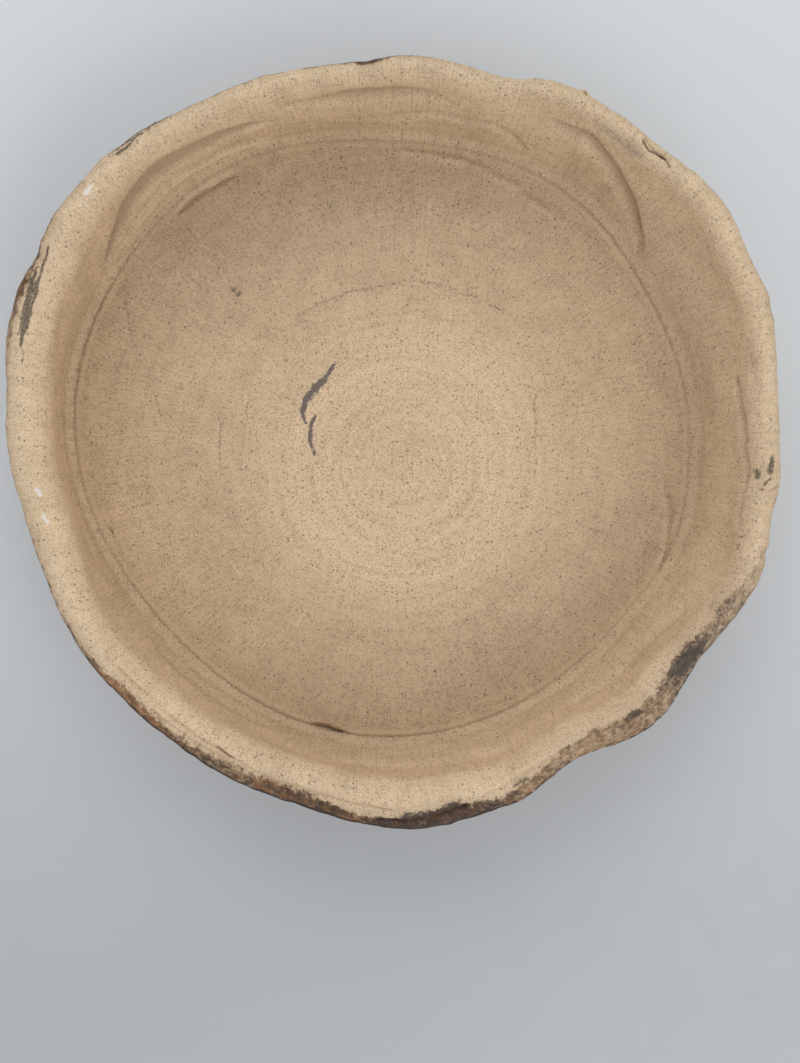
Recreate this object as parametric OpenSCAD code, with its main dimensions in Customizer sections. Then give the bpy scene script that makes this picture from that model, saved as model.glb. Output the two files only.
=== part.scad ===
// Hand-built open clay bowl: a round floor slab, a thin seam coil pressed into its corner,
// three wall coils, and a thick pinched rim rolled from one long and one short length of clay.
// Units are millimetres. Z is up and the bowl stands on the plane z = 0.

/* [Bowl] */
// Mean radius of the outside of the rim
rim_radius = 104.5; // [95:0.5:126]
// Height of the rim's mean crest above the table
bowl_height = 42; // [38:1:60]
// Mean radius of the inside corner, where the wall starts on the floor
floor_radius = 93; // [77:1:97]
// How strongly the hand-made waves show (1 = as made, 0 = a true circle)
hand_wander = 1; // [0:0.1:1.2]

/* [Floor slab] */
// Thickness of the floor slab
slab_thickness = 8; // [5:0.5:10]
// How far the slab reaches beyond the inside corner
slab_margin = 9; // [8:0.5:13]
// How far the slab's edge stands out past the foot of the wall
slab_lip = 0.6; // [0:0.1:1.5]
// Radius of the slab's softened edges
slab_round = 2.5; // [0.5:0.5:4]
// Offset of the slab's centre from the rim's centre, along X and Y
slab_offset = [-3.5, -0.5]; // [-4:0.5:4]

/* [Wall coils] */
// Thickness of the wall below the rim
wall_thickness = 8.5; // [6:0.5:11]
// How far each coil bulges between its joints
coil_bulge = 0.6; // [0:0.1:1.2]

/* [Seam coil] */
// Height and depth of the fillet pressed into the inside corner
seam_size = 3; // [2:0.5:5]

/* [Rim] */
// Height of the rolled rim from its joint to its crest
rim_height = 11; // [8:0.5:13]
// Share of the rim's height that lies above its widest line
rim_fullness = 0.52; // [0.45:0.01:0.6]
// Extra thickness of the short closing length over the long one
patch_swell = 0.8; // [0:0.1:1.5]
// Angle where the short closing length starts
patch_start = 351; // [339:3:357]
// Angle where the short closing length ends, past one full turn
patch_end = 408; // [390:3:420]

/* [Hidden] */
clay = [0.78, 0.69, 0.58];
rim_clay = [0.80, 0.71, 0.60];
angle_step = 3;
$fn = 144;

// Pinches of the rim: [angle, how far the outer edge stands out from the mean radius]
pinches = [
    [0, -0.5], [8, -0.2], [22, 3], [28, 2], [35, 3.5], [50, 0.5], [62, 0], [75, -4.5], [86, -3],
    [97, -4.5], [116, -2], [140, 3], [147, 4], [153, 3], [158, 4], [176, 0], [196, -3], [214, -2],
    [228, -2.2], [252, -0.5], [273, 3.5], [288, 1.6], [300, -3], [314, 1.9], [325, -1.3], [341, 3],
    [350, 0.2], [354, 1],
];
// Width of the rolled rim: [angle, width across the roll]
roll_widths = [
    [0, 8.5], [25, 8], [55, 7], [97, 7.5], [130, 8.5], [158, 13], [180, 12.5], [214, 11], [250, 14],
    [272, 16], [299, 11.5], [316, 13], [328, 9], [345, 9.5],
];
// Inside corner of the floor: [angle, how far it lies out from floor_radius]
corner_wander = [
    [0, -1], [30, -2.5], [55, -0.5], [85, -2], [130, 4.8], [168, 5.8], [225, -2], [262, -0.5],
    [318, -3], [345, 0],
];
// Crest of the rim: [angle, how far it lies above bowl_height]
crest_wander = [[0, 0.4], [60, -0.6], [110, 0], [160, -1], [215, 0], [270, -1], [315, 0]];

// Value of a list of [angle, value] at angle a, eased between neighbours and closed at 360.
function lap(list, i) = i < len(list) ? list[i] : [list[0][0] + 360, list[0][1]];
function eased(p, q, a) = p[1] + (q[1] - p[1]) * (1 - cos(180 * (a - p[0]) / (q[0] - p[0]))) / 2;
function at(list, a) = [
    for (i = [0:len(list) - 1]) if (a >= list[i][0] && a < lap(list, i + 1)[0])
        eased(list[i], lap(list, i + 1), a)
][0];

slab_radius = floor_radius + slab_margin;
wall_coils = 3;
joint_low = slab_thickness;
joint_high = bowl_height - rim_height;

// Radii at one angle: the rim's edge and centre line, and the wall's two faces at any height.
function rim_out(a) = rim_radius + hand_wander * at(pinches, a % 360);
function rim_mid(a) = rim_out(a) - at(roll_widths, a % 360) / 2;
function foot_in(a) = floor_radius + hand_wander * at(corner_wander, a % 360);
function foot_out(a) = slab_radius - slab_lip + slab_offset * [cos(a), sin(a)];
function top_in(a) = rim_mid(a) - wall_thickness / 2;
function top_out(a) = rim_mid(a) + wall_thickness / 2;
function wall_in(a, z) = foot_in(a) + (top_in(a) - foot_in(a)) * height_share(z);
function wall_out(a, z) = foot_out(a) + (top_out(a) - foot_out(a)) * height_share(z);
function height_share(z) = (z - joint_low) / (joint_high - joint_low);

// Bulge of a coil at height z, zero at its joints.
function bulge(z, z0, z1) = coil_bulge * sin(180 * (z - z0) / (z1 - z0));

// Sections as lists of [radius, height], anticlockwise from the bottom of the inside.
seam_top = joint_low + seam_size;
function joint(i) = joint_low + (joint_high - joint_low) * i / wall_coils;
function coil_heights(i) = i == 0
    ? [joint_low, for (t = [0, 0.35, 0.7, 1]) seam_top + t * (joint(1) - seam_top)]
    : [for (t = [0, 0.25, 0.5, 0.75, 1]) joint(i) + t * (joint(i + 1) - joint(i))];
function coil_section(a, hs) = let (z0 = hs[0], z1 = hs[len(hs) - 1]) concat(
    [for (z = hs) [wall_out(a, z) + bulge(z, z0, z1), z]],
    [for (i = [len(hs) - 1:-1:0]) [wall_in(a, hs[i]) - bulge(hs[i], z0, z1), hs[i]]]
);
function seam_section(a) = let (foot = foot_in(a), lean = coil_section(a, coil_heights(0))[8][0] - foot) [
    [foot, joint_low],
    for (t = [0:30:90])
        [foot + lean * (1 - sin(t)) - seam_size * (1 - cos(t)), seam_top - seam_size * sin(t)],
];
function rim_section(a, swell) = let (
    half = at(roll_widths, a % 360) / 2 + swell / 2,
    crest = bowl_height + hand_wander * at(crest_wander, a % 360) + swell / 2,
    rise = (crest - joint_high) * rim_fullness
) concat(
    [[top_out(a), joint_high]],
    [for (t = [-30:20:210]) [rim_mid(a) + half * cos(t), crest - rise + rise * sin(t)]],
    [[top_in(a), joint_high]]
);

// Faces of a loft through n sections of m points, as triangles with matching diagonals.
function quad(i, k, j, l, m, up) = up
    ? [[i * m + j, i * m + l, k * m + l], [i * m + j, k * m + l, k * m + j]]
    : [[i * m + j, i * m + l, k * m + j], [i * m + l, k * m + l, k * m + j]];

module loft(angles, sections, closed) {
    n = len(sections);
    m = len(sections[0]);
    points = [
        for (i = [0:n - 1]) for (p = sections[i]) [p[0] * cos(angles[i]), p[0] * sin(angles[i]), p[1]]
    ];
    sides = [
        for (i = [0:(closed ? n - 1 : n - 2)]) for (j = [0:m - 1])
            let (l = (j + 1) % m, up = sections[0][l][1] >= sections[0][j][1])
                each quad(i, (i + 1) % n, j, l, m, up)
    ];
    ends = closed ? [] : [[for (j = [m - 1:-1:0]) j], [for (j = [0:m - 1]) (n - 1) * m + j]];
    polyhedron(points = points, faces = concat(sides, ends), convexity = 6);
}

full_turn = [for (a = [0:angle_step:360 - angle_step]) a];
long_turn = [for (a = [patch_end - 360:angle_step:patch_start]) a];
short_turn = [for (a = [patch_start:angle_step:patch_end]) a];

// Shift that centres the outline of the rim and slab on the Z axis.
edge = [
    for (a = full_turn) rim_out(a) * [cos(a), sin(a)],
    for (a = [0:90:270]) slab_offset + slab_radius * [cos(a), sin(a)],
];
edge_x = [for (p = edge) p[0]];
edge_y = [for (p = edge) p[1]];
centring = [-(max(edge_x) + min(edge_x)) / 2, -(max(edge_y) + min(edge_y)) / 2, 0];

module floor_slab() {
    flat_radius = slab_radius - slab_round;
    color(clay) translate([slab_offset[0], slab_offset[1], 0] + centring) rotate_extrude() {
        square([flat_radius, slab_thickness]);
        translate([0, slab_round]) square([slab_radius, slab_thickness - 2 * slab_round]);
        for (z = [slab_round, slab_thickness - slab_round])
            translate([flat_radius, z]) circle(r = slab_round);
    }
}

module seam_coil() {
    color(clay) translate(centring) loft(full_turn, [for (a = full_turn) seam_section(a)], true);
}

module wall_coil(i) {
    color(clay) translate(centring)
        loft(full_turn, [for (a = full_turn) coil_section(a, coil_heights(i))], true);
}

module rim_length(turn, swell) {
    color(rim_clay) translate(centring) loft(turn, [for (a = turn) rim_section(a, swell)], false);
}

module lower_wall_coil() {
    wall_coil(0);
}

module middle_wall_coil() {
    wall_coil(1);
}

module upper_wall_coil() {
    wall_coil(2);
}

module rim_coil() {
    rim_length(long_turn, 0);
}

module rim_patch() {
    rim_length(short_turn, patch_swell);
}

floor_slab();
seam_coil();
lower_wall_coil();
middle_wall_coil();
upper_wall_coil();
rim_coil();
rim_patch();
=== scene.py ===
"""Looks of the hand-built clay bowl: fine-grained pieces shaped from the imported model's own sections.

The whole bowl is measured once as a grid of sections round the rim's centre, worked over like wet
clay (wobble, finger marks, folds), then cut into one closed piece per CAD node. Places on the bowl
are given as an angle in degrees, anticlockwise from +X, and a radius or height in millimetres, or as
x and y in millimetres from the rim's centre. Marks are stored as mesh attributes that the clay reads.
"""
import math

import bpy
import numpy as np
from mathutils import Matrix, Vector
from mathutils.bvhtree import BVHTree


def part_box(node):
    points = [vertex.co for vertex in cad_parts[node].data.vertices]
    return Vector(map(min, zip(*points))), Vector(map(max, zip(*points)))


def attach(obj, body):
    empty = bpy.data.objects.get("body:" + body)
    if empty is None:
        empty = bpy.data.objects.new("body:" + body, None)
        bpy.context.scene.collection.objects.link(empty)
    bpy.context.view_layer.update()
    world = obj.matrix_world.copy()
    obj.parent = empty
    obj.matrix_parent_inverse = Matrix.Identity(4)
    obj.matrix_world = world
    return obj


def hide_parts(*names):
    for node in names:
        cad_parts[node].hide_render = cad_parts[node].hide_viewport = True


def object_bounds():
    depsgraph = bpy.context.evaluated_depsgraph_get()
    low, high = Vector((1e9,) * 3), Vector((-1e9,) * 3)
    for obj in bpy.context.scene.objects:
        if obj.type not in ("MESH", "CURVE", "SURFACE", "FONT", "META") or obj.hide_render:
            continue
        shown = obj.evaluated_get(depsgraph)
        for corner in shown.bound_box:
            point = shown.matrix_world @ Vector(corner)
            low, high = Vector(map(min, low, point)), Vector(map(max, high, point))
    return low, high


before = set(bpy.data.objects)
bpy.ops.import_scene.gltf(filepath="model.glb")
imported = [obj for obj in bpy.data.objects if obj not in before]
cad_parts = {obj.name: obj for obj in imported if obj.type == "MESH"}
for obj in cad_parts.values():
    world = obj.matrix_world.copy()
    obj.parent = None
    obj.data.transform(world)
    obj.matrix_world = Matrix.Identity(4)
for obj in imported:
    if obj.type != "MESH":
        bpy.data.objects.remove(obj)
cad_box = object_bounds()

MM = 0.001
AZIMUTHS = 1200           # sections round the bowl
FLOOR_AZIMUTHS = 600      # spokes of the floor slab
FLOOR_RINGS = 144         # rings of the slab's top
RIM_ROWS = 76             # points over the rolled rim
COIL_ROWS = 15            # points up one wall coil
SEAM_ROWS = 10            # points up the seam coil
SEAM_SINK = 0.6 * MM      # how far the seam coil's edge is pressed into the floor
PATCH_START, PATCH_END = 351.0, 408.0     # the rim's short closing length, degrees
SLAB_OFFSET = Vector((-3.5, -0.5)) * MM   # the slab's centre from the rim's centre, as designed
SLAB_ROUND = 2.5 * MM     # radius of the slab's softened edges
WIPED_CENTRE = (3.0, -6.5)    # middle of the floor's wiping rings, from the rim's centre, millimetres

slab_low, slab_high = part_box("floor_slab")
slab_centre = (slab_low + slab_high).xy / 2
slab_radius = (slab_high.x - slab_low.x) / 2
CENTRE = slab_centre - SLAB_OFFSET
FLOOR_Z = slab_high.z
SEAM_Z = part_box("seam_coil")[1].z
JOINTS = [FLOOR_Z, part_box("middle_wall_coil")[0].z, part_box("upper_wall_coil")[0].z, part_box("rim_coil")[0].z]


# ---------------------------------------------------------------- numbers

def smooth(low, high, x):
    """0 below low, 1 above high, eased between them."""
    t = np.clip((x - low) / (high - low), 0, 1)
    return t * t * (3 - 2 * t)


def lattice(points, seed):
    """Smooth value noise from -1 to 1 at an (n, 3) array of points."""
    cell = np.floor(points).astype(np.int64)
    f = points - cell
    f = f * f * (3 - 2 * f)
    total = np.zeros(len(points))
    for corner in np.ndindex(2, 2, 2):
        k = cell + corner
        h = k[:, 0] * 374761393 + k[:, 1] * 668265263 + k[:, 2] * 1442695041 + seed * 974634777
        h &= 0xFFFFFFFF
        h = ((h ^ (h >> 13)) * 1274126177) & 0xFFFFFFFF
        h = ((h ^ (h >> 16)) * 2246822519) & 0xFFFFFFFF
        weight = np.prod(np.where(corner, f, 1 - f), axis=1)
        total += weight * (h / 0x7FFFFFFF - 1)
    return total


def noise(points, size, seed, octaves=1):
    """Layered noise with features about size across, in the points' own units."""
    total, most = np.zeros(len(points)), 0
    for k in range(octaves):
        total += lattice(points * (2 ** k / size), seed + k) / 2 ** k
        most += 0.5 ** k
    return total / most


def around(degrees, across, length, width):
    """Points for noise that runs length along the rim's turn and width across it, in millimetres."""
    return np.stack([degrees * math.radians(100) / length, across / width, np.zeros(len(degrees))], 1)


def round_turn(stations, degrees):
    """Value of [(angle, value), ...] at each angle, eased between neighbours and closed at 360."""
    angle = np.array([a for a, _ in stations])
    value = np.array([v for _, v in stations], float)
    angle, value = np.append(angle, angle[0] + 360), np.append(value, value[0])
    d = (degrees - angle[0]) % 360 + angle[0]
    i = np.clip(np.searchsorted(angle, d, "right") - 1, 0, len(value) - 2)
    t = (d - angle[i]) / (angle[i + 1] - angle[i])
    return value[i] + (value[i + 1] - value[i]) * (1 - np.cos(np.pi * t)) / 2


def turn_from(degrees, start):
    """Signed angle from start, in degrees from -180 to 180."""
    return (degrees - start + 180) % 360 - 180


def path_nearness(x, y, path):
    """1 on a path of (x, y, half-width) points, 0 at twice its half-width away, even in between."""
    best = np.zeros(len(x))
    for (x0, y0, h0), (x1, y1, h1) in zip(path, path[1:]):
        dx, dy = x1 - x0, y1 - y0
        t = np.clip(((x - x0) * dx + (y - y0) * dy) / (dx * dx + dy * dy), 0, 1)
        away = np.hypot(x - x0 - t * dx, y - y0 - t * dy)
        best = np.maximum(best, 1 - away / (2 * (h0 + (h1 - h0) * t)))
    return best


def dent(nearness):
    """Rounded profile of a dent or ridge from a path's nearness."""
    return np.exp(-4 * (1 - nearness) ** 2) * (nearness > 0)


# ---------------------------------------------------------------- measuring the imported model

def tree(*nodes):
    """One ray-casting tree of several CAD nodes."""
    points, faces = [], []
    for name in nodes:
        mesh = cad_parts[name].data
        start = len(points)
        points += [v.co.copy() for v in mesh.vertices]
        faces += [[start + i for i in p.vertices] for p in mesh.polygons]
    return BVHTree.FromPolygons(points, faces)


def reach(target, origins, directions):
    """Distance along each ray to the target, with misses filled from their neighbours round the turn."""
    hits = np.array([
        (target.ray_cast(Vector(o), Vector(d))[3] or 0.0) for o, d in zip(origins, directions)
    ])
    good = hits > 0.4 * np.median(hits)
    turn = np.arange(len(hits))
    return np.interp(turn, turn[good], hits[good], period=len(hits))


def blur_turn(values, degrees):
    """Smooths values round the closed turn, along the last axis."""
    n = values.shape[-1]
    spread = degrees * n / 360
    frequency = np.fft.rfftfreq(n)
    keep = np.exp(-2 * (np.pi * frequency * spread) ** 2)
    return np.fft.irfft(np.fft.rfft(values, axis=-1) * keep, n, axis=-1)


theta = np.arange(AZIMUTHS) * 360.0 / AZIMUTHS
ray_x, ray_y = np.cos(np.radians(theta)), np.sin(np.radians(theta))
flat = np.zeros(AZIMUTHS)
outward = np.stack([ray_x, ray_y, flat], 1)
wall_tree = tree("lower_wall_coil", "middle_wall_coil", "upper_wall_coil")
rim_tree = tree("rim_coil", "rim_patch")


def radius_at(target, z, from_outside):
    """Radius of a ring's inner or outer face at height z, at every azimuth."""
    start = 0.2 if from_outside else 0.0
    origins = np.array([CENTRE.x, CENTRE.y, z]) + start * outward
    hits = reach(target, origins, -outward if from_outside else outward)
    return start - hits if from_outside else hits


def rise(low, high, rows):
    """Heights of a coil's rows, held just off its joints so that each ray meets clay."""
    return np.clip(np.linspace(low, high, rows), low + 0.05 * MM, high - 0.05 * MM)


rim_low, rim_high = JOINTS[3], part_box("rim_coil")[1].z
wide_z = rim_low + 0.47 * (rim_high - rim_low)      # height of the rim's widest line
rim_inner = radius_at(rim_tree, wide_z, False)
rim_outer = radius_at(rim_tree, wide_z, True)
rim_middle = blur_turn((rim_inner + rim_outer) / 2, 1.5)
top_in = radius_at(wall_tree, rim_low - 0.05 * MM, False)
top_out = radius_at(wall_tree, rim_low - 0.05 * MM, True)

# The section of the bowl as rows of (radius, height), from the floor's corner up over the rim and down.
radii, heights, joint_row = [], [], {}
foot = radius_at(wall_tree, FLOOR_Z + 0.05 * MM, False)
seam_top = radius_at(wall_tree, SEAM_Z, False)
seam_reach = SEAM_Z - FLOOR_Z
for turn in np.linspace(0, math.pi / 2, SEAM_ROWS + 1)[:-1]:
    lean = (seam_top - foot) * (1 - math.cos(turn))
    radii.append(foot + lean - seam_reach * (1 - math.sin(turn)))
    heights.append(FLOOR_Z + seam_reach * (1 - math.cos(turn)) + flat)
for coil in range(3):
    joint_row[coil] = len(radii)
    low = SEAM_Z if coil == 0 else JOINTS[coil]
    for z in rise(low, JOINTS[coil + 1], COIL_ROWS + 1)[:-1]:
        radii.append(radius_at(wall_tree, z, False))
        heights.append(z + flat)
joint_row[3] = len(radii)
start_turn = np.arctan2(rim_low - wide_z, top_in - rim_middle) % (2 * np.pi)
end_turn = np.arctan2(rim_low - wide_z, top_out - rim_middle)
for t in np.linspace(0, 1, RIM_ROWS):
    a = start_turn + (end_turn - start_turn) * t
    ray = np.stack([np.cos(a) * ray_x, np.cos(a) * ray_y, np.sin(a)], 1)
    origin = np.stack([CENTRE.x + rim_middle * ray_x, CENTRE.y + rim_middle * ray_y, wide_z + flat], 1)
    hit = reach(rim_tree, origin, ray)
    radii.append(rim_middle + hit * np.cos(a))
    heights.append(wide_z + hit * np.sin(a))
outer_row = {3: len(radii) - 1}
for coil in (2, 1, 0):
    for z in rise(JOINTS[coil], JOINTS[coil + 1], COIL_ROWS + 1)[::-1][1:]:
        radii.append(radius_at(wall_tree, z, True))
        heights.append(z + flat)
    outer_row[coil] = len(radii) - 1
radii, heights = blur_turn(np.array(radii), 0.9), blur_turn(np.array(heights), 0.9)
ROWS = len(radii)
row = np.arange(ROWS)


def soften(values, passes, weight):
    """Rounds the section's corners where the rows' weight is 1, with its two ends held."""
    for _ in range(passes):
        values[1:-1] += weight[1:-1, None] * (values[:-2] - 2 * values[1:-1] + values[2:]) / 4
    return values


# Every corner is rounded a little, then the upper wall is smoothed into the rim as one soft roll.
everywhere = np.ones(ROWS)
inside_roll = smooth(joint_row[0] + 4, joint_row[2], row)
inside_roll *= 1 - smooth(joint_row[3] + 22, joint_row[3] + 38, row)
for passes, weight in ((10, everywhere), (140, inside_roll)):
    radii, heights = soften(radii, passes, weight), soften(heights, passes, weight)
crease_radius = radii[0].copy()
heights[0] -= SEAM_SINK


# ---------------------------------------------------------------- working the clay

# Dents and ridges on the rolled rim: (angle, radius, half-width along, half-width across, height), mm.
RIM_KNOCKS = [
    (61, 104, 1.4, 1.2, 1.0), (47, 102.5, 2.6, 1.2, -1.0), (343.5, 104.5, 1.6, 2.4, -1.2),
    (29, 93.5, 1.5, 3.0, -0.6), (26.5, 95, 3.0, 1.2, 0.5), (12, 97.5, 4.5, 1.0, -0.6),
    (9, 100, 2.0, 1.6, 0.5), (170, 94, 1.2, 1.5, -0.5), (177, 92, 1.0, 2.0, -0.5),
    (197, 89.5, 2.0, 1.0, -0.5), (276, 104, 9.0, 2.0, 1.0), (265, 102, 5.0, 1.5, -0.8),
    (284, 102, 3.0, 2.5, -0.9), (324.5, 100, 5.0, 2.6, -0.5), (312, 99, 5.0, 3.0, 0.5),
    (299, 98, 6.0, 3.0, -0.6), (331, 101, 4.0, 2.5, 0.4), (153, 105, 2.5, 3.0, -0.5),
    (132, 104, 3.0, 2.0, -0.5), (94, 99, 3.0, 1.5, -0.5), (71, 98, 7.0, 4.0, -0.6),
    (116, 98, 9.0, 4.0, -0.5),
]
# Folds pressed into the rim: a path of (angle, radius, half-width) and a depth.
RIM_FOLDS = [
    ([(217, 96.0, 0.4), (226, 95.0, 0.5), (234, 95.5, 0.5), (243, 96.0, 0.3)], 0.8),
    ([(228, 97.4, 0.4), (238, 97.4, 0.6), (248, 98.0, 0.6), (258, 99.0, 0.4)], 0.7),
    ([(240, 95.6, 0.4), (250, 97.4, 0.5), (260, 98.4, 0.5), (270, 100.5, 0.4)], 0.7),
    ([(268, 103.8, 0.5), (275, 103.6, 0.8), (282, 101.6, 0.5)], 1.2),
    ([(285, 99.5, 0.5), (293, 96.5, 0.6), (301, 95.5, 0.6), (309, 97.0, 0.4)], 0.6),
    ([(44.5, 101.5, 0.3), (46, 103.0, 0.4), (48, 102.0, 0.4), (50, 103.0, 0.3)], 0.9),
    ([(353, 98.0, 0.3), (352.5, 101.0, 0.5), (353.5, 104.5, 0.4)], 0.8),
    ([(32, 94.2, 0.3), (29, 93.8, 0.5), (27, 90.5, 0.4), (24.5, 91.5, 0.3)], 0.7),
]
# Grooves and ridges of the inner wall: a path of (angle, height, half-width) and a depth.
WALL_FOLDS = [
    ([(148, 12, 0.5), (143, 18, 2.0), (137, 25, 3.6), (128, 29, 4.4), (119, 28, 3.4), (111, 25, 0.6)], 3.4),
    ([(147, 9, 0.4), (138, 13, 1.4), (128, 16, 1.8), (120, 15, 1.2), (112, 13, 0.3)], -1.4),
    ([(108, 32, 0.6), (98, 32.5, 3.2), (89, 31.5, 3.0), (80, 30, 0.6)], 1.7),
    ([(99, 17, 0.8), (90, 18.5, 1.4), (81, 21, 1.6), (73, 24, 1.4), (69, 19, 1.2), (66, 13, 0.8)], 1.5),
    ([(63, 31, 1.4), (57, 31, 2.2), (51, 26, 2.6), (45, 19, 2.2), (39, 13, 1.4)], 2.2),
    ([(10, 32, 1.2), (3, 34.5, 1.8), (355, 36, 1.9), (347, 36.5, 1.0)], 1.9),
    ([(330, 28, 2.0), (318, 24, 3.2), (305, 22, 2.2)], 0.9),
    ([(290, 26, 2.0), (274, 22, 3.4), (262, 24, 2.0)], 0.7),
    ([(246, 14, 2.0), (234, 18, 3.2), (222, 17, 2.0)], 0.8),
    ([(200, 20, 2.2), (186, 16, 3.4), (172, 20, 2.2)], 0.8),
]
# Thin lines scratched in the floor: a path of (x, y, half-width) and a depth.
FLOOR_LINES = [
    ([(-28, 38, 0.4), (-18, 43, 0.5), (-6, 46.5, 0.5), (6, 48, 0.5), (18, 46, 0.5), (31, 40, 0.4)], 0.3),
    ([(-80, 48, 0.4), (-78.5, 36.5, 0.4), (-76, 26, 0.3)], 0.25),
    ([(42.5, 14, 0.3), (43, -11, 0.3)], 0.15),
    ([(-51.5, 6, 0.3), (-52, -11, 0.3)], 0.12),
]
# Dents and ridges of the floor: a path of (x, y, half-width) and a depth.
FLOOR_DENTS = [
    ([(-24, -86, 0.5), (-20, -87, 1.1), (-14, -88.5, 0.5)], 1.3),
    ([(-47, 45.5, 0.9), (-46, 44.5, 0.9)], 0.3),
    ([(12.5, -69, 0.5), (13.5, -69.5, 0.5)], 0.4),
    ([(81, -13, 0.6), (83, -22, 1.0), (82.5, -30, 0.9), (80, -38, 0.5)], -0.9),
    ([(3, 85, 0.8), (20, 82.5, 1.2), (34, 76, 1.2), (46, 68, 0.8)], -0.6),
    ([(-63, 68, 0.5), (-58, 72.5, 0.9), (-52, 76, 0.9), (-47, 78.5, 0.5)], 0.9),
]
FLOOR_STRAY = (0.7, 4, (93, 95))      # how far floor marks stray, over what size, and the noise's seeds
STROKE_STRAY = (0.5, 2.6, (101, 105))     # the same for painted strokes


def strayed(x, y, far, size, seeds):
    """x and y moved up to so far by noise of one size, so that a mark laid by its path isn't straight."""
    points = np.stack([x, y, 0 * x], 1)
    return [v + far * noise(points, size, seed, 2) for v, seed in zip((x, y), seeds)]


def straightened(degrees, other, path, ring):
    """Lays a path of (angle, other, half-width) and the points out flat, in millimetres round a ring."""
    start = path[0][0]
    scale = math.radians(1) * ring
    laid = [(turn_from(a, start) * scale, b, h) for a, b, h in path]
    return turn_from(degrees, start) * scale, other, laid


def wall_work(degrees, z):
    """Depth pressed into the inner wall at each angle and height, in millimetres."""
    depth = 0.45 * noise(around(degrees, z, 30, 13), 1, 31, 2)
    wander = 1.2 * noise(around(degrees, z, 11, 40), 1, 47, 2)
    for path, deep in WALL_FOLDS:
        depth += deep * dent(path_nearness(*straightened(degrees, z + wander, path, 94)))
    return depth


def rim_work(degrees, radius, z):
    """Depth pressed into the rolled rim, in millimetres."""
    depth = 0.25 * noise(around(degrees, radius + z, 3.4, 16), 1, 71, 2)
    for angle, at, along, across, height in RIM_KNOCKS:
        arc = turn_from(degrees, angle) * math.radians(1) * at
        depth -= height * np.exp(-(arc / along) ** 2 - ((radius - at) / across) ** 2)
    wander = 0.6 * noise(around(degrees, radius, 6, 40), 1, 57, 2)
    for path, deep in RIM_FOLDS:
        depth += deep * dent(path_nearness(*straightened(degrees, radius + wander, path, 99)))
    return depth


def worked(x, y, z, top, inner):
    """Height in millimetres that the hand adds to a surface. top and inner are masks for rim and wall."""
    points = np.stack([x, y, z], 1)
    degrees, radius = np.degrees(np.arctan2(y, x)) % 360, np.hypot(x, y)
    lift = 0.34 * noise(points, 19, 11, 2) + 0.12 * noise(points, 3.2, 20, 2)
    lift += 0.05 * noise(points, 0.9, 30)
    lift -= inner * wall_work(degrees, z)
    lift -= top * rim_work(degrees, radius, z)
    return lift


def floor_work(x, y):
    """Height in millimetres of the smoothed floor: faint rings of wiping, a soft dish, and marks."""
    points = np.stack([x, y, 0 * x], 1)
    radius = np.hypot(x - WIPED_CENTRE[0], y - WIPED_CENTRE[1])
    ring = np.stack([radius, np.degrees(np.arctan2(y, x)) / 12, 0 * x], 1)
    lift = 0.10 * noise(ring, 3.4, 81, 2) + 0.25 * noise(points, 26, 84, 2)
    lift += 0.06 * noise(points, 2.6, 88, 2) + 0.04 * noise(points, 0.9, 91)
    lift -= 0.25 * smooth(48, 16, radius)
    near = strayed(x, y, *FLOOR_STRAY)
    for path, deep in FLOOR_LINES + FLOOR_DENTS:
        lift -= deep * dent(path_nearness(*near, path))
    return lift


def normals(points):
    """Unit normals of a (rows, azimuths, 3) grid closed round the turn, pointing out of the clay."""
    along = np.gradient(points, axis=0)
    beside = np.roll(points, -1, 1) - np.roll(points, 1, 1)
    n = np.cross(along, beside)
    return n / np.maximum(np.linalg.norm(n, axis=2, keepdims=True), 1e-12)


grid = np.stack([CENTRE.x + radii * ray_x, CENTRE.y + radii * ray_y, heights], 2)
in_rim = smooth(joint_row[3] + 4, joint_row[3] + 16, row)
in_rim *= 1 - smooth(outer_row[3] - 8, outer_row[3], row)
in_wall = 1 - smooth(joint_row[3] + 14, joint_row[3] + 26, row)
local = (grid - np.array([CENTRE.x, CENTRE.y, 0])) / MM
masks = (np.repeat(mask, AZIMUTHS) for mask in (in_rim, in_wall))
lift = worked(*local.reshape(-1, 3).T, *masks)
ends = smooth(0, 5, row) * (1 - smooth(ROWS - 5, ROWS - 1, row))
grid += normals(grid) * (lift.reshape(ROWS, AZIMUTHS) * ends[:, None] * MM)[:, :, None]
grid = np.clip(grid, np.array(cad_box[0]), np.array(cad_box[1]))


# ---------------------------------------------------------------- marks and stains

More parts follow.
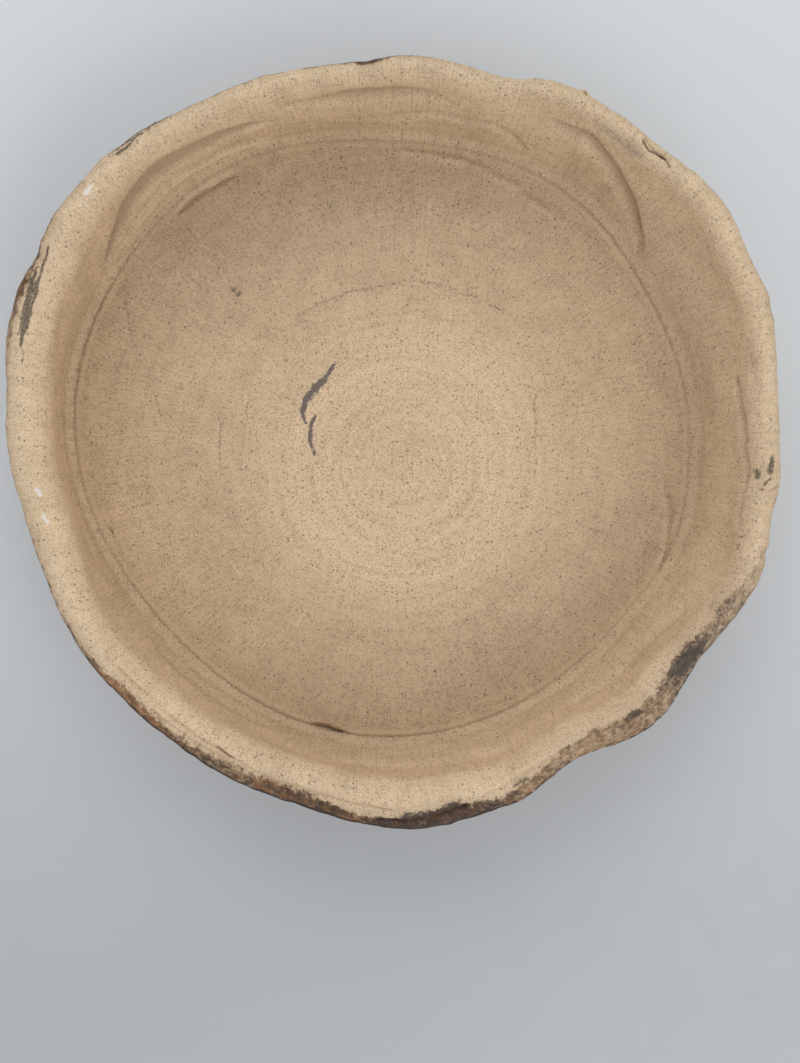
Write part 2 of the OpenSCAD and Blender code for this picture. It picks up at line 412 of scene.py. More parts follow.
# Brown wash on the outside: angle, how far it comes in over the rim's outline as seen from above
# (millimetres, negative where it stays below), tone (0 rust, 0.5 umber, 0.8 purple-brown, 1 charcoal),
# cover, and how dark it makes the rim's outer edge.
WASH = [
    (0, -0.6, 0.75, 0.40, 0.2), (22, 0.0, 0.85, 0.50, 0.3), (30, -0.6, 0.75, 0.50, 0.1),
    (60, -0.6, 0.60, 0.60, 0.1), (80, -0.4, 0.60, 0.70, 0.2), (89, 0.4, 0.50, 0.90, 0.5),
    (93.5, 2.0, 0.45, 1.00, 0.6), (98, 0.2, 0.50, 0.90, 0.3), (118, 0.0, 0.60, 0.70, 0.2),
    (132, 0.4, 0.85, 0.80, 0.3), (140, -0.4, 0.70, 0.60, 0.1), (151, 0.4, 0.45, 0.80, 0.4),
    (157, 2.4, 0.40, 0.75, 0.4), (161, 1.6, 0.40, 0.70, 0.4), (170, 0.6, 0.40, 0.50, 0.3),
    (186, 0.0, 0.50, 0.50, 0.2), (205, 0.4, 0.45, 0.60, 0.4), (213, 0.9, 0.35, 0.70, 0.6),
    (218, 2.0, 0.22, 0.80, 0.8), (222, 3.2, 0.10, 0.80, 0.8), (227, 3.2, 0.22, 0.80, 0.9),
    (232, 2.6, 0.36, 0.80, 0.9), (237, 3.0, 0.42, 0.82, 1.0), (241, 4.0, 0.42, 0.72, 1.0),
    (246, 4.0, 0.40, 0.74, 1.0), (250, 4.8, 0.38, 0.84, 1.0), (255, 4.3, 0.42, 0.90, 1.0),
    (260, 4.0, 0.48, 0.96, 1.0), (265, 2.4, 0.42, 0.92, 1.0), (269, 3.2, 0.66, 1.00, 1.0),
    (274, 5.0, 0.62, 1.00, 1.0), (280, 6.0, 0.66, 1.00, 0.9), (283, 4.0, 0.60, 0.95, 0.8),
    (286, 3.2, 0.60, 0.85, 0.7), (291, 4.3, 0.38, 0.68, 0.6), (296, 4.5, 0.34, 0.68, 0.6),
    (300, 4.5, 0.26, 0.62, 0.5), (304, 6.6, 0.26, 0.62, 0.5), (310, 6.6, 0.36, 0.66, 0.8),
    (317, 6.6, 0.48, 0.64, 0.6), (321, 6.2, 0.74, 0.72, 0.6), (325, 6.2, 0.84, 0.74, 0.5),
    (330, 4.8, 0.80, 0.62, 0.3), (335, 5.8, 0.72, 0.60, 0.3), (340, 4.0, 0.75, 0.45, 0.3),
    (345, 0.5, 0.75, 0.40, 0.3),
]
OUTLINE = 1.1             # how far in from the rim's widest line its outline lies from above, millimetres
# Marks on the rim and the wall's foot: a path of (angle, radius, half-width) and a strength.
CHARCOAL = [
    ([(150.5, 103.6, 0.3), (154, 102.6, 0.6), (158, 101.6, 0.6), (161, 101.0, 0.3)], 0.85),
    ([(154, 104.4, 0.3), (158, 103.0, 0.8), (162, 101.8, 0.9), (165.5, 101.2, 0.3)], 1.1),
    ([(157, 104.0, 0.3), (160.5, 103.2, 0.6), (164, 102.6, 0.3)], 0.7),
    ([(166, 100.6, 0.4), (168, 100.0, 0.3)], 0.6),
    ([(131.5, 103.2, 0.6), (133.5, 103.4, 0.7)], 1.0), ([(129, 103.6, 0.4), (131, 103.4, 0.5)], 0.7),
    ([(355.5, 97.6, 0.8), (354.5, 98.2, 0.7)], 0.7), ([(357.5, 100.9, 0.8), (355.4, 100.6, 0.9)], 0.95),
    ([(353.6, 100.2, 0.4), (354.6, 101.4, 0.3)], 0.8),
    ([(321.4, 99.4, 1.5), (324.2, 99.4, 2.0), (327.0, 100.0, 1.4)], 0.90),
    ([(310.6, 98.2, 0.7), (312.6, 98.8, 0.8)], 1.0),
    ([(46, 102.6, 0.4), (48.5, 101.4, 0.3), (50, 101.8, 0.3)], 0.9),
    ([(290, 99.4, 0.9), (292, 99.2, 0.8)], 0.7), ([(300, 96.0, 0.6), (302, 96.0, 0.6)], 0.5),
    ([(272, 102.0, 0.8), (277, 101.4, 1.0), (281, 99.6, 0.7)], 0.6),
]
SMOKE = [
    ([(49, 99.5, 1.6), (52, 98.8, 2.4), (56, 99.0, 1.6)], 0.55), ([(39, 99.0, 1.0), (43, 98.8, 1.2)], 0.3),
    ([(304, 96.0, 1.0), (309, 96.2, 1.0)], 0.4), ([(333, 97.5, 1.4), (339, 98.5, 1.6)], 0.5),
]
CHALK = [
    ([(139.5, 103.0, 0.5), (141, 102.8, 0.6)], 0.75), ([(142.4, 102.4, 0.3), (142.8, 102.3, 0.3)], 0.7),
    ([(187.6, 95.6, 0.5), (188.6, 95.4, 0.5)], 0.85), ([(191.8, 95.0, 0.4), (193, 94.6, 0.5)], 0.75),
    ([(215, 97.4, 1.3), (218, 96.8, 1.3)], 0.42), ([(8, 101.4, 1.2), (11, 101.4, 1.2)], 0.36),
]
RUST = [
    ([(345.2, 98.7, 0.3), (344.6, 97.3, 0.4), (343.0, 97.0, 0.3)], 0.75),
    ([(343.8, 98.3, 0.3), (342.2, 98.5, 0.4), (340.8, 97.8, 0.3)], 0.70),
    ([(169, 93.8, 0.4), (169.8, 93.4, 0.4)], 0.9), ([(172.4, 92.4, 0.3), (173.2, 92.2, 0.3)], 0.8),
    ([(177.2, 90.8, 0.3), (178.2, 90.4, 0.4)], 0.9), ([(196.6, 88.8, 0.35), (197.8, 88.4, 0.35)], 0.8),
    ([(254.5, 88.2, 0.3), (257.0, 88.8, 0.8), (260.0, 89.6, 0.3)], 1.1),
    ([(60.6, 103.6, 0.4), (61.2, 103.6, 0.4)], 0.8), ([(280.4, 70.3, 0.4), (281.0, 70.5, 0.4)], 0.9),
    ([(28.6, 92.4, 0.3), (29.4, 93.4, 0.3), (27.0, 94.2, 0.3)], 0.6),
    ([(25.8, 90.8, 0.3), (24.8, 92.4, 0.3), (24.2, 94.4, 0.3)], 0.5),
    ([(168, 72.6, 0.3), (171, 70.8, 0.45), (174.5, 69.4, 0.3)], 0.7),
    ([(147.5, 93, 1.0), (149, 92, 1.0)], 0.4), ([(43, 91.5, 1.6), (39, 90.5, 1.6)], 0.3),
    ([(306, 88, 2.0), (312, 89, 2.4), (318, 88, 2.0)], 0.28),
]
# Dark smears on the floor: a path of (x, y, half-width) and a strength.
SMEARS = [
    ([(-17, 23.5, 0.3), (-20, 19.5, 0.7), (-23, 16.5, 1.1), (-26, 13, 0.9), (-27, 9.5, 0.5),
      (-26.2, 6, 0.3)], 1.1),
    ([(-23, 8.5, 0.3), (-24.6, 5, 0.6), (-24.8, 1, 0.5), (-23.2, -3.4, 0.3)], 1.0),
    ([(-42, 17, 0.4), (-43.4, 10, 0.6), (-42.6, 1, 0.4)], 0.45),
    ([(-47.6, 45.6, 1.1), (-45.6, 44.6, 1.0)], 0.6), ([(29.6, 40.6, 0.5), (31.6, 39.6, 0.4)], 0.6),
    ([(-28, 36, 1.0), (-24, 34, 1.2)], 0.4),
]
# How strongly the painted shade line where the wall meets the floor shows: angle and strength.
CREASE = [
    (0, 0.10), (12, 0.30), (24, 0.50), (42, 0.60), (56, 0.30), (75, 0.05), (95, 0.05), (112, 0.10),
    (136, 0.08), (147, 0.25), (154, 0.80), (168, 0.75), (180, 0.40), (196, 0.25), (215, 0.45),
    (235, 0.60), (256, 0.80), (275, 0.60), (300, 0.35), (318, 0.15), (340, 0.05),
]
LINE_REACH = 9.0          # how far a thin floor line's distance is stored, millimetres


def strokes(x, y, marks, polar=True):
    """Strength of a set of marks at each point, wandering a little from their paths."""
    near = strayed(x, y, *STROKE_STRAY)
    total = np.zeros(len(x))
    for path, strength in marks:
        if polar:
            path = [(r * math.cos(math.radians(a)), r * math.sin(math.radians(a)), h) for a, r, h in path]
        total = np.maximum(total, strength * path_nearness(*near, path))
    return total


def thin_lines(x, y):
    """Distance to the nearest line scratched in the floor, in millimetres and at most LINE_REACH."""
    near = strayed(x, y, *FLOOR_STRAY)
    nearest = np.full(len(x), LINE_REACH)
    for path, _ in FLOOR_LINES:
        wide = [(px, py, LINE_REACH / 2) for px, py, _ in path]
        nearest = np.minimum(nearest, LINE_REACH * (1 - path_nearness(*near, wide)))
    return nearest


def paint(mesh, past_edge):
    """Stores the marks on a mesh. past_edge is each point's distance in from the rim's outer edge, in mm."""
    points = np.empty(len(mesh.vertices) * 3)
    mesh.vertices.foreach_get("co", points)
    points = (points.reshape(-1, 3) - np.array([CENTRE.x, CENTRE.y, 0])) / MM
    x, y, z = points.T
    degrees, radius = np.degrees(np.arctan2(y, x)) % 360, np.hypot(x, y)
    come_in, tone, cover, edge_dark = (round_turn([(w[0], w[k]) for w in WASH], degrees) for k in (1, 2, 3, 4))
    on_floor = 1 - smooth(FLOOR_Z / MM + 2, FLOOR_Z / MM + 5, z)
    outside = 1 - smooth(-2.0, 0.5, past_edge)
    inside = smooth(0.5, 3.0, past_edge) * smooth(FLOOR_Z / MM + 1, FLOOR_Z / MM + 5, z)
    up = smooth(JOINTS[3] / MM + 4, JOINTS[3] / MM + 8, z)
    on_rim = up * (1 - outside)
    at_foot = (1 - smooth(91, 93, radius)) * (1 - outside)
    crease = np.interp(degrees, theta, crease_radius / MM, period=360)
    values = {
        "wash": np.clip(come_in + OUTLINE - past_edge, -6, 12),
        "tone": tone + (0.5 - tone) * smooth(2, 14, -past_edge),
        "cover": cover + (0.95 - cover) * smooth(0, 4, -past_edge),
        "edge_dark": edge_dark * smooth(-4, -0.5, past_edge) * (1 - smooth(0.9, 2.2, past_edge)),
        "charcoal": strokes(x, y, CHARCOAL) * on_rim,
        "smoke": strokes(x, y, SMOKE) * on_rim,
        "chalk": strokes(x, y, CHALK) * on_rim,
        "rust": strokes(x, y, RUST) * np.maximum(on_rim, at_foot),
        "smear": strokes(x, y, SMEARS, False) * on_floor,
        "line": thin_lines(x, y) + LINE_REACH * (1 - on_floor),
        # Distance from the wall's inside corner, where painted shade is laid.
        "crease": np.clip(radius - crease, -6, 6) + 12 * (1 - on_floor),
        "crease_strength": round_turn(CREASE, degrees),
        # Height up the wall: the clay turns paler with it, partly the rim's own tone and partly painted light on
        # the upper wall.
        "high": smooth(FLOOR_Z / MM, FLOOR_Z / MM + 20, z),
        # How deep the clay is pressed: the clay turns it into painted shade in folds and a painted highlight on
        # ridges.
        "pressed": inside * (wall_work(degrees, z) * (1 - up) + rim_work(degrees, radius, z) * up),
        "wiped": smooth(56, 30, np.hypot(x - WIPED_CENTRE[0], y - WIPED_CENTRE[1])) * on_floor,
    }
    for name, value in values.items():
        mesh.attributes.new(name, "FLOAT", "POINT").data.foreach_set("value", value.astype(np.float32))


# ---------------------------------------------------------------- pieces

# How far each grid point lies in from the rim's widest line: level inside it, down along the clay and
# negative outside it.
every_turn = np.arange(AZIMUTHS)
edge_row = joint_row[3] + np.argmax(radii[joint_row[3]:outer_row[3] + 1], axis=0)
edge_radius = radii[edge_row, every_turn]
step = np.zeros_like(radii)
step[1:] = np.hypot(np.diff(radii, axis=0), np.diff(heights, axis=0))
arc = np.cumsum(step, axis=0)
gone_over = arc[edge_row, every_turn] - arc
past_edge_grid = np.where(row[:, None] > edge_row, gone_over, edge_radius - radii) / MM
FAR_IN, FAR_OUT = 40.0, -30.0      # past_edge of clay that the wash never meets, and of clay it covers


def mesh_object(name, points, faces, material, past_edge):
    """A painted, smooth-shaded piece that rides on the bowl and stands for the CAD node of its name."""
    mesh = bpy.data.meshes.new(name)
    mesh.from_pydata(points.tolist(), [], faces)
    mesh.validate()
    mesh.shade_smooth()
    mesh.set_sharp_from_angle(angle=math.radians(55))
    paint(mesh, past_edge)
    mesh.materials.append(material)
    piece = bpy.data.objects.new(name, mesh)
    bpy.context.scene.collection.objects.link(piece)
    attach(piece, "root")
    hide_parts(name)


def ring_faces(rows, columns, closed):
    """Quads over a (rows, columns) grid whose rows form a loop, with end caps if it isn't a full turn."""
    faces = []
    for j in range(columns if closed else columns - 1):
        k = (j + 1) % columns
        for i in range(rows):
            m = (i + 1) % rows
            faces.append((i * columns + j, m * columns + j, m * columns + k, i * columns + k))
    if not closed:
        faces.append(tuple(i * columns for i in reversed(range(rows))))
        faces.append(tuple(i * columns + columns - 1 for i in range(rows)))
    return faces


def ring_piece(name, rows, material, columns=None, foot_row=None):
    """A ring cut from the section grid along its listed rows, and closed through the clay."""
    points, past = grid[rows], past_edge_grid[rows]
    if foot_row is not None:
        points = np.concatenate([points, foot_row[None]])
        past = np.concatenate([past, past[:1]])
    if columns is not None:
        points, past = points[:, columns], past[:, columns]
    faces = ring_faces(*points.shape[:2], columns is None)
    mesh_object(name, points.reshape(-1, 3), faces, material, past.ravel())


def slab_piece(name, material):
    """The floor slab: a worked top, softened edge and flat underside, as a closed polar mesh."""
    turn = np.radians(np.arange(FLOOR_AZIMUTHS) * 360.0 / FLOOR_AZIMUTHS)
    flat_radius = slab_radius - SLAB_ROUND
    top = [(flat_radius * t, FLOOR_Z) for t in np.linspace(0, 1, FLOOR_RINGS + 1)[1:]]
    corners = [(a, FLOOR_Z - SLAB_ROUND) for a in range(75, -1, -15)]
    corners += [(a, SLAB_ROUND) for a in range(0, -91, -15)]
    side = [
        (flat_radius + SLAB_ROUND * math.cos(math.radians(a)), z + SLAB_ROUND * math.sin(math.radians(a)))
        for a, z in corners
    ]
    under = [(flat_radius * t, 0.0) for t in (0.97, 0.9, 0.75, 0.5, 0.25)]
    r, z = (np.array(v) for v in zip(*(top + side + under)))
    points = np.stack([
        slab_centre.x + r[:, None] * np.cos(turn), slab_centre.y + r[:, None] * np.sin(turn),
        z[:, None] + 0 * turn,
    ], 2)
    x, y = ((points[:FLOOR_RINGS, :, k].ravel() - CENTRE[k]) / MM for k in (0, 1))
    points[:FLOOR_RINGS, :, 2] += floor_work(x, y).reshape(FLOOR_RINGS, -1) * MM
    edge = slice(FLOOR_RINGS, FLOOR_RINGS + len(side))
    place = (points[edge].reshape(-1, 3) - np.array([CENTRE.x, CENTRE.y, 0])) / MM
    hollow = (0.25 + 0.25 * noise(place, 12, 23, 2)).reshape(points[edge].shape[:2]) * MM
    centre = np.array(slab_centre)
    points[edge, :, :2] = centre + (points[edge, :, :2] - centre) * (1 - hollow / slab_radius)[:, :, None]
    rows, count = points.shape[:2]
    middles = [[*slab_centre, points[0, :, 2].mean()], [*slab_centre, 0.0]]
    faces = []
    for j in range(count):
        k = (j + 1) % count
        for i in range(rows - 1):
            faces.append((i * count + j, (i + 1) * count + j, (i + 1) * count + k, i * count + k))
        faces.append((rows * count, j, k))
        faces.append((rows * count + 1, (rows - 1) * count + k, (rows - 1) * count + j))
    past = np.full(rows * count + 2, FAR_IN)
    past[edge.start * count:(edge.stop - 1) * count] = FAR_OUT
    mesh_object(name, np.vstack([points.reshape(-1, 3), middles]), faces, material, past)


# ---------------------------------------------------------------- materials

class Nodes:
    """Short calls for wiring one material's nodes. Coordinates are the bowl's own, in millimetres."""

    def __init__(self, name):
        self.material = bpy.data.materials.new(name)
        self.material.use_nodes = True
        self.tree = self.material.node_tree
        self.shader = self.tree.nodes["Principled BSDF"]
        place = self.add("ShaderNodeTexCoord")
        self.place = self.stretch(place.outputs["Object"], (1 / MM,) * 3)

    def add(self, kind, **settings):
        node = self.tree.nodes.new(kind)
        for key, value in settings.items():
            setattr(node, key, value)
        return node

    def join(self, source, target):
        self.tree.links.new(source, target)

    def feed(self, socket, value):
        if isinstance(value, bpy.types.NodeSocket):
            self.join(value, socket)
        elif socket.type == "RGBA":
            socket.default_value = (*value, 1.0)
        else:
            socket.default_value = value

    def stretch(self, vector, scale, shift=(0.0, 0.0, 0.0)):
        node = self.add("ShaderNodeMapping")
        node.inputs["Scale"].default_value = scale
        node.inputs["Location"].default_value = shift
        self.join(vector, node.inputs["Vector"])
        return node.outputs["Vector"]

    def polar(self, centre):
        """Angle as millimetres round a 100 mm circle, radius and height, about a centre in millimetres."""
        moved = self.stretch(self.place, (1.0, 1.0, 1.0), (-centre[0], -centre[1], 0.0))
        parts = self.add("ShaderNodeSeparateXYZ")
        self.join(moved, parts.inputs["Vector"])
        turn = self.math("MULTIPLY", self.math("ARCTAN2", parts.outputs["Y"], parts.outputs["X"]), 100.0)
        square = self.math("ADD", self.math("POWER", parts.outputs["X"], 2.0),
                           self.math("POWER", parts.outputs["Y"], 2.0))
        joined = self.add("ShaderNodeCombineXYZ")
        self.join(turn, joined.inputs["X"])
        self.join(self.math("SQRT", square), joined.inputs["Y"])
        self.join(parts.outputs["Z"], joined.inputs["Z"])
        return joined.outputs["Vector"]

    def noise(self, size, detail=2.0, rough=0.5, place=None, twist=0.0):
        node = self.add("ShaderNodeTexNoise")
        node.inputs["Scale"].default_value = 1 / size
        node.inputs["Detail"].default_value = detail
        node.inputs["Roughness"].default_value = rough
        node.inputs["Distortion"].default_value = twist
        self.join(place or self.place, node.inputs["Vector"])
        return node.outputs["Fac"]

    def grains(self, size, share, radius, soft):
        """Round grains in a share of the cells of one size: 1 on a grain, 0 off it."""
        node = self.add("ShaderNodeTexVoronoi")
        node.inputs["Scale"].default_value = 1 / size
        self.join(self.place, node.inputs["Vector"])
        cell = self.add("ShaderNodeSeparateColor")
        self.join(node.outputs["Color"], cell.inputs["Color"])
        picked = self.math("LESS_THAN", cell.outputs["Red"], share)
        disc = self.range(node.outputs["Distance"], radius + soft, radius - soft)
        return self.math("MULTIPLY", disc, picked)

    def mark(self, name):
        """A mark stored on the mesh."""
        return self.add("ShaderNodeAttribute", attribute_name=name).outputs["Fac"]

    def math(self, operation, a, b=0.0):
        node = self.add("ShaderNodeMath", operation=operation)
        self.feed(node.inputs[0], a)
        self.feed(node.inputs[1], b)
        return node.outputs[0]

    def swing(self, value):
        """Noise moved down by half, so that it swings about zero."""
        return self.math("SUBTRACT", value, 0.5)

    def blend(self, *shares):
        """Sum of (value, share) pairs."""
        total = 0.0
        for value, share in shares:
            total = self.math("ADD", self.math("MULTIPLY", value, share), total)
        return total

    def range(self, value, low, high, to_low=0.0, to_high=1.0):
        node = self.add("ShaderNodeMapRange", interpolation_type="SMOOTHSTEP")
        for key, item in zip(("Value", "From Min", "From Max", "To Min", "To Max"),
                             (value, low, high, to_low, to_high)):
            self.feed(node.inputs[key], item)
        return node.outputs["Result"]

    def mix(self, amount, a, b, blend="MIX"):
        node = self.add("ShaderNodeMix", data_type="RGBA", blend_type=blend)
        self.feed(node.inputs["Factor"], amount)
        self.feed(node.inputs["A"], a)
        self.feed(node.inputs["B"], b)
        return node.outputs["Result"]

    def coat(self, under, amount, strength, colour):
        """A colour laid over another one, by an amount times a strength."""
        return self.mix(self.math("MULTIPLY", amount, strength), under, colour)

    def ramp(self, value, stops):
        node = self.add("ShaderNodeValToRGB")
        while len(node.color_ramp.elements) < len(stops):
            node.color_ramp.elements.new(1.0)
        for element, (position, colour) in zip(node.color_ramp.elements, stops):
            element.position, element.color = position, (*colour, 1.0)
        self.join(value, node.inputs["Fac"])
        return node.outputs["Color"]

    def bump(self, height, distance, strength):
        node = self.add("ShaderNodeBump")
        node.inputs["Strength"].default_value = strength
        node.inputs["Distance"].default_value = distance
        self.join(height, node.inputs["Height"])
        self.join(node.outputs["Normal"], self.shader.inputs["Normal"])


PALE_WALL, DARK_WALL = (0.620, 0.460, 0.300), (0.525, 0.385, 0.246)
PALE_RIM, DARK_RIM = (0.704, 0.534, 0.357), (0.600, 0.448, 0.294)
PALE_WIPED = (0.700, 0.520, 0.345)
GROG, GRIT = (0.100, 0.068, 0.046), (0.86, 0.76, 0.60)
# Colour of the painted shade laid into the folds of wall and rim.
FOLD_SHADE = (0.290, 0.195, 0.115)
RUST_BROWN, CHARRED = (0.15, 0.070, 0.038), (0.062, 0.051, 0.043)
CHALK_WHITE, SMOKE_GREY, SMEAR_GREY = (0.76, 0.74, 0.72), (0.20, 0.18, 0.165), (0.095, 0.080, 0.088)
# The second colour on the next line is painted shade for the inside corner where the wall meets the floor.
LINE_BROWN, CREASE_SHADE_BROWN = (0.15, 0.10, 0.07), (0.19, 0.13, 0.085)
HAZE_BROWN, EDGE_DARK_BROWN, GOLD = (0.23, 0.145, 0.085), (0.034, 0.019, 0.014), (0.30, 0.190, 0.100)
CLAY_SHADES = [(0.37, (0.60, 0.58, 0.55)), (0.50, (0.98, 0.98, 0.98)), (0.64, (1.12, 1.12, 1.13))]
# The wash from rust through umber and purple-brown to charcoal.
WASH_TONES = [
    (0.00, (0.30, 0.125, 0.045)), (0.25, (0.165, 0.080, 0.038)), (0.50, (0.068, 0.038, 0.023)),
    (0.75, (0.058, 0.037, 0.033)), (1.00, (0.078, 0.062, 0.053)),
]


def clay(name, grog_share):
    """Matte sandy clay with dark grog and wiping streaks, and the marks and wash stored on its mesh."""
    n = Nodes(name)
    middle = [CENTRE[k] / MM for k in (0, 1)]
    turned = n.polar(middle)
    wiping = n.polar([middle[k] + WIPED_CENTRE[k] for k in (0, 1)])
    broad, blotch = n.noise(38), n.noise(7.0, 3.0, 0.6)
    grain, sand = n.noise(0.42, 2.0, 0.8), n.noise(1.3, 2.0, 0.7)
    rough, broken = n.noise(0.9, 3.0, 0.75), n.noise(2.6, 4.0, 0.7)
    hatch = n.noise(1.0, 1.0, 0.5, n.stretch(turned, (1 / 0.55, 1 / 9, 1 / 9)))
    streak = n.noise(1.0, 2.0, 0.7, n.stretch(turned, (1 / 7, 1 / 0.55, 1 / 0.8)))
    rings = n.noise(1.0, 3.0, 0.6, n.stretch(wiping, (1 / 160, 1 / 2.6, 0)))
    mottle = n.noise(2.0, 4.0, 0.75)
    high, wiped = n.mark("high"), n.mark("wiped")

    # Bare clay: paler up the wall and on the rim, partly the rim clay's own tone and partly painted light on the
    # upper wall; paler where the floor was wiped, uneven everywhere.
    uneven = n.range(n.blend((broad, 0.4), (blotch, 0.6)), 0.30, 0.70)
    low_clay = n.mix(uneven, DARK_WALL, PALE_WALL)
    low_clay = n.coat(low_clay, wiped, n.range(rings, 0.25, 0.65, 0.45, 1.0), PALE_WIPED)
    colour = n.mix(high, low_clay, n.mix(uneven, DARK_RIM, PALE_RIM))
    shade = n.blend((grain, 0.60), (sand, 0.16), (hatch, 0.16), (rings, 0.08))
    colour = n.mix(1.0, colour, n.ramp(shade, CLAY_SHADES), "MULTIPLY")

    # Fine dark grog, thicker where wiping bared it, and a little pale grit.
    small = n.grains(0.80, n.blend((wiped, 0.30), (grog_share, 1.0)), 0.26, 0.10)
    medium = n.grains(1.5, n.blend((wiped, 0.10), (0.16, 1.0)), 0.20, 0.07)
    grog = n.math("MAXIMUM", n.math("MULTIPLY", small, 0.50), n.math("MULTIPLY", medium, 0.66))
    colour = n.mix(grog, colour, GROG)
    colour = n.coat(colour, n.grains(2.2, 0.5, 0.10, 0.05), 0.5, GRIT)

    # Painted shade in the folds of wall and rim, and a painted highlight in the rim's pale clay on the ridges.
    pressed = n.mark("pressed")
    colour = n.coat(colour, n.range(pressed, 0.3, 2.4), 0.60, FOLD_SHADE)
    colour = n.coat(colour, n.range(pressed, -0.3, -1.6), 0.50, PALE_RIM)

    def torn(mark, tear):
        """A mark with its edge torn by noise and by streaks that run with the rim."""
        wobble = n.blend((rough, 0.40), (broken, 0.25), (streak, 0.35))
        return n.range(n.blend((n.swing(wobble), tear), (n.mark(mark), 1.0)), 0.30, 0.66)

    # Rust and smears, then the floor's scratched lines, the painted shade in the corner where the wall meets the
    # floor, and its pale burr.
    colour = n.coat(colour, torn("rust", 1.6), 0.75, RUST_BROWN)
    colour = n.coat(colour, torn("smear", 2.4), 0.86, SMEAR_GREY)
    cut = n.range(n.blend((n.swing(rough), 1.6), (n.mark("line"), 1.0)), 0.38, 0.0)
    colour = n.coat(colour, cut, 0.42, LINE_BROWN)
    # Painted shade along the inside corner where the wall meets the floor, as strong as crease_strength says.
    wobble = n.blend((n.swing(broken), 1.6), (n.mark("crease"), 1.0))
    corner = n.math("MULTIPLY", n.range(n.math("ABSOLUTE", wobble), 0.62, 0.08), n.mark("crease_strength"))
    colour = n.coat(colour, corner, 0.55, CREASE_SHADE_BROWN)
    burr = n.range(n.math("ABSOLUTE", n.math("ADD", wobble, 1.3)), 1.0, 0.2)
    colour = n.coat(colour, burr, 0.30, PALE_RIM)
    colour = n.coat(colour, torn("chalk", 2.2), 0.75, CHALK_WHITE)
    colour = n.coat(colour, torn("smoke", 1.3), 0.50, SMOKE_GREY)

    # The wash: a faint brown haze, then torn patches flecked with gold, darkened along the rim's outer edge.
    depth = n.blend((n.mark("wash"), 1.0), (n.swing(broken), 5.0), (n.swing(rough), 3.0))
    cover = n.mark("cover")
    colour = n.coat(colour, n.range(depth, -4.0, 1.0), n.math("MULTIPLY", cover, 0.26), HAZE_BROWN)
    thin = n.range(n.blend((cover, 1.0), (mottle, 1.6), (streak, 0.5)), 1.35, 1.95, 0.22, 1.0)
    thin = n.math("MULTIPLY", thin, n.range(cover, 0.0, 0.8))
    washed = n.math("MULTIPLY", n.range(depth, -0.3, 0.8), thin)
    wash = n.ramp(n.blend((n.mark("tone"), 1.0), (n.swing(n.noise(2.6, 3.0, 0.7)), 1.8)), WASH_TONES)
    flecks = n.range(n.noise(1.3, 3.0, 0.75), 0.50, 0.64)
    wash = n.coat(wash, flecks, n.range(cover, 1.15, 0.6, 0.25, 0.75), GOLD)
    colour = n.mix(washed, colour, wash)
    edge_dark = n.range(n.blend((n.mark("edge_dark"), 1.0), (n.swing(mottle), 1.8)), 0.35, 0.80)
    colour = n.coat(colour, edge_dark, 0.88, EDGE_DARK_BROWN)
    colour = n.coat(colour, torn("charcoal", 2.0), n.range(grain, 0.3, 0.7, 0.95, 0.65), CHARRED)
    n.join(colour, n.shader.inputs["Base Color"])

    gloss = n.blend((washed, 0.7), (edge_dark, 0.3), (blotch, 0.3))
    n.join(n.range(gloss, 0.1, 1.1, 0.94, 0.66), n.shader.inputs["Roughness"])
    n.shader.inputs["Specular IOR Level"].default_value = 0.22
    relief = n.blend(
        (grain, 0.60), (sand, 0.85), (hatch, 0.40), (grog, -0.30), (cut, -0.7), (corner, -0.7),
        (mottle, n.math("MULTIPLY", washed, 1.6)),
    )
    n.bump(relief, 0.20 * MM, 0.9)
    return n.material


floor_clay = clay("floor_clay", 0.55)
wall_clay = clay("wall_clay", 0.45)
rim_clay = clay("rim_clay", 0.36)

seam_end, low_end, middle_end, high_end = (joint_row[i] for i in range(4))
foot_line = np.stack([CENTRE.x + foot * ray_x, CENTRE.y + foot * ray_y, FLOOR_Z + flat], 1)


def wall_rows(inner_low, inner_high, coil):
    """Section rows round one wall coil: up its inside, then down its outside."""
    return [*range(inner_low, inner_high + 1), *range(outer_row[coil + 1], outer_row[coil] + 1)]


slab_piece("floor_slab", floor_clay)
ring_piece("seam_coil", [*range(seam_end + 1)], wall_clay, foot_row=foot_line)
ring_piece("lower_wall_coil", wall_rows(seam_end, low_end, 0), wall_clay, foot_row=foot_line)
ring_piece("middle_wall_coil", wall_rows(low_end, middle_end, 1), wall_clay)
ring_piece("upper_wall_coil", wall_rows(middle_end, high_end, 2), wall_clay)
start, end = (round(angle * AZIMUTHS / 360) for angle in (PATCH_START, PATCH_END))
rim_rows = [*range(high_end, outer_row[3] + 1)]
ring_piece("rim_coil", rim_rows, rim_clay, columns=np.arange(end - AZIMUTHS, start + 1))
ring_piece("rim_patch", rim_rows, rim_clay, columns=np.arange(start, end + 1) % AZIMUTHS)


# ---------------------------------------------------------------- table, light and camera

TABLE_HALF = 6.0              # half the width of the table, metres
# The second colour on the next line is the grey of a painted shadow towards the front.
TABLE_PALE, TABLE_SHADOW_GREY = (0.640, 0.655, 0.670), (0.430, 0.440, 0.455)
TABLE_SHADOW_RAMP = (60.0, -170.0)   # where the painted shadow on the table starts to grey it and where it's done, along Y, mm
# Light of the room: (sine of the height it comes from, level).
DAYLIGHT = [(0.0, 0.75), (0.12, 0.93), (0.5, 1.0), (0.8, 0.62), (1.0, 0.5)]
DAYLIGHT_STRENGTH = 0.93


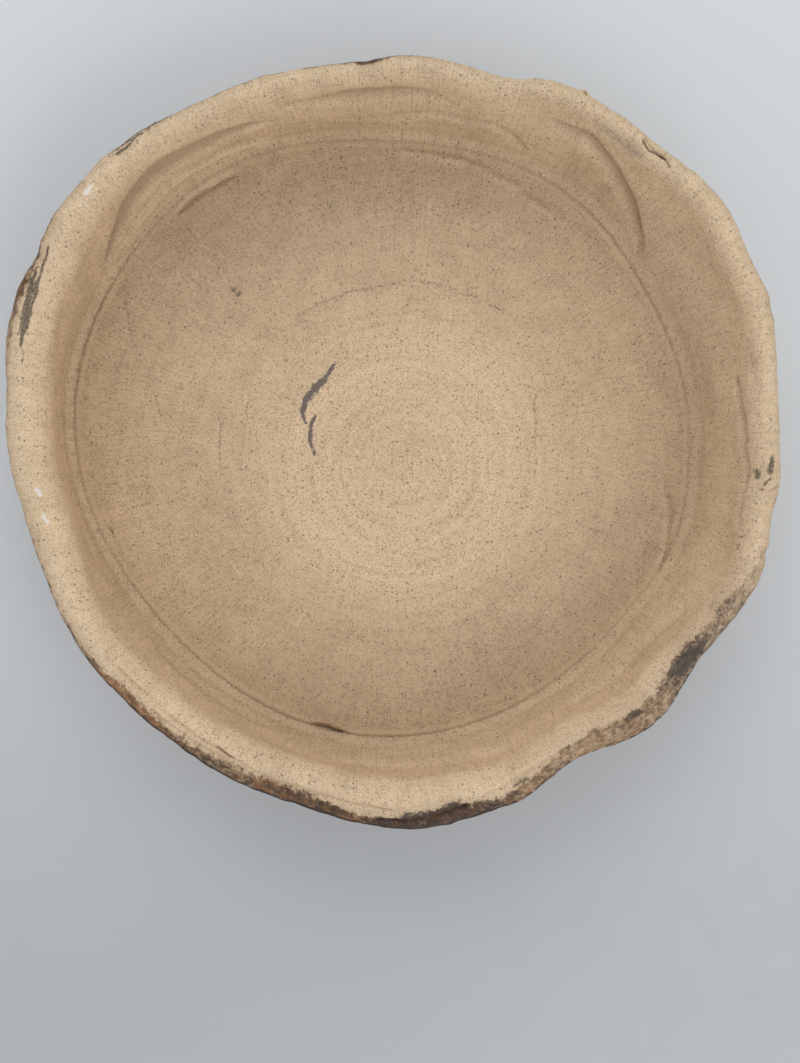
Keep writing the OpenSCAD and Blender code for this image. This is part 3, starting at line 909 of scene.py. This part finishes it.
def table_top():
    """A wide pale laminate table with a painted shadow that greys it towards the front."""
    h = TABLE_HALF
    mesh = bpy.data.meshes.new("table_top")
    mesh.from_pydata([(-h, -h, 0), (h, -h, 0), (h, h, 0), (-h, h, 0)], [], [(0, 1, 2, 3)])
    n = Nodes("table_laminate")
    parts = n.add("ShaderNodeSeparateXYZ")
    n.join(n.place, parts.inputs["Vector"])
    # Painted shadow: the table greys towards the front.
    front = n.range(n.blend((parts.outputs["Y"], 1.0), (n.noise(90, 2.0), 30.0)), *TABLE_SHADOW_RAMP)
    n.join(n.mix(front, TABLE_PALE, TABLE_SHADOW_GREY), n.shader.inputs["Base Color"])
    n.join(n.range(n.noise(14, 3.0), 0.3, 0.7, 0.45, 0.55), n.shader.inputs["Roughness"])
    n.bump(n.noise(2.0), 0.03 * MM, 0.5)
    mesh.materials.append(n.material)
    table = bpy.data.objects.new("table_top", mesh)
    bpy.context.scene.collection.objects.link(table)


def soft_light(name, place, width, depth, power, colour):
    """A large rectangular softbox at a place, facing the bowl."""
    data = bpy.data.lights.new(name, "AREA")
    data.shape, data.size, data.size_y = "RECTANGLE", width, depth
    data.energy, data.color = power, colour
    light = bpy.data.objects.new(name, data)
    light.location = place
    light.rotation_euler = (-Vector(place)).to_track_quat("-Z", "Y").to_euler()
    bpy.context.scene.collection.objects.link(light)


def room():
    """Light of a bright room: strongest from part way up its sides, softer from straight above."""
    world = bpy.data.worlds.new("room")
    world.use_nodes = True
    tree = world.node_tree
    place = tree.nodes.new("ShaderNodeTexCoord")
    height = tree.nodes.new("ShaderNodeSeparateXYZ")
    ramp = tree.nodes.new("ShaderNodeValToRGB")
    while len(ramp.color_ramp.elements) < len(DAYLIGHT):
        ramp.color_ramp.elements.new(1.0)
    for element, (position, level) in zip(ramp.color_ramp.elements, DAYLIGHT):
        element.position, element.color = position, (0.95 * level, 0.975 * level, level, 1.0)
    tree.links.new(place.outputs["Generated"], height.inputs["Vector"])
    tree.links.new(height.outputs["Z"], ramp.inputs["Fac"])
    tree.links.new(ramp.outputs["Color"], tree.nodes["Background"].inputs["Color"])
    tree.nodes["Background"].inputs["Strength"].default_value = DAYLIGHT_STRENGTH
    bpy.context.scene.world = world


table_top()
room()
soft_light("front_window", (0.50, -0.70, 0.80), 1.0, 0.6, 4.0, (1.0, 0.985, 0.955))
soft_light("back_window", (-0.15, 0.85, 0.80), 1.0, 0.6, 4.2, (1.0, 0.99, 0.97))
bpy.context.scene.view_settings.view_transform = "Standard"

CAMERA_HEIGHT = 308.5 * MM                # lens above the table
CAMERA_TILT = 4.45                        # degrees from straight down, towards -Y
CAMERA_SHIFT = Vector((2.2, -3.0)) * MM   # from the rim's centre
SENSOR_WIDTH, FOCAL_LENGTH = 36.0, 33.87  # millimetres
camera_data = bpy.data.cameras.new("camera")
camera_data.sensor_width = SENSOR_WIDTH
camera_data.lens = FOCAL_LENGTH
camera_data.clip_start = 0.01
camera = bpy.data.objects.new("camera", camera_data)
camera.location = (CENTRE.x + CAMERA_SHIFT.x, CENTRE.y + CAMERA_SHIFT.y, CAMERA_HEIGHT)
camera.rotation_euler = (-math.radians(CAMERA_TILT), 0, 0)
bpy.context.scene.collection.objects.link(camera)
bpy.context.scene.camera = camera
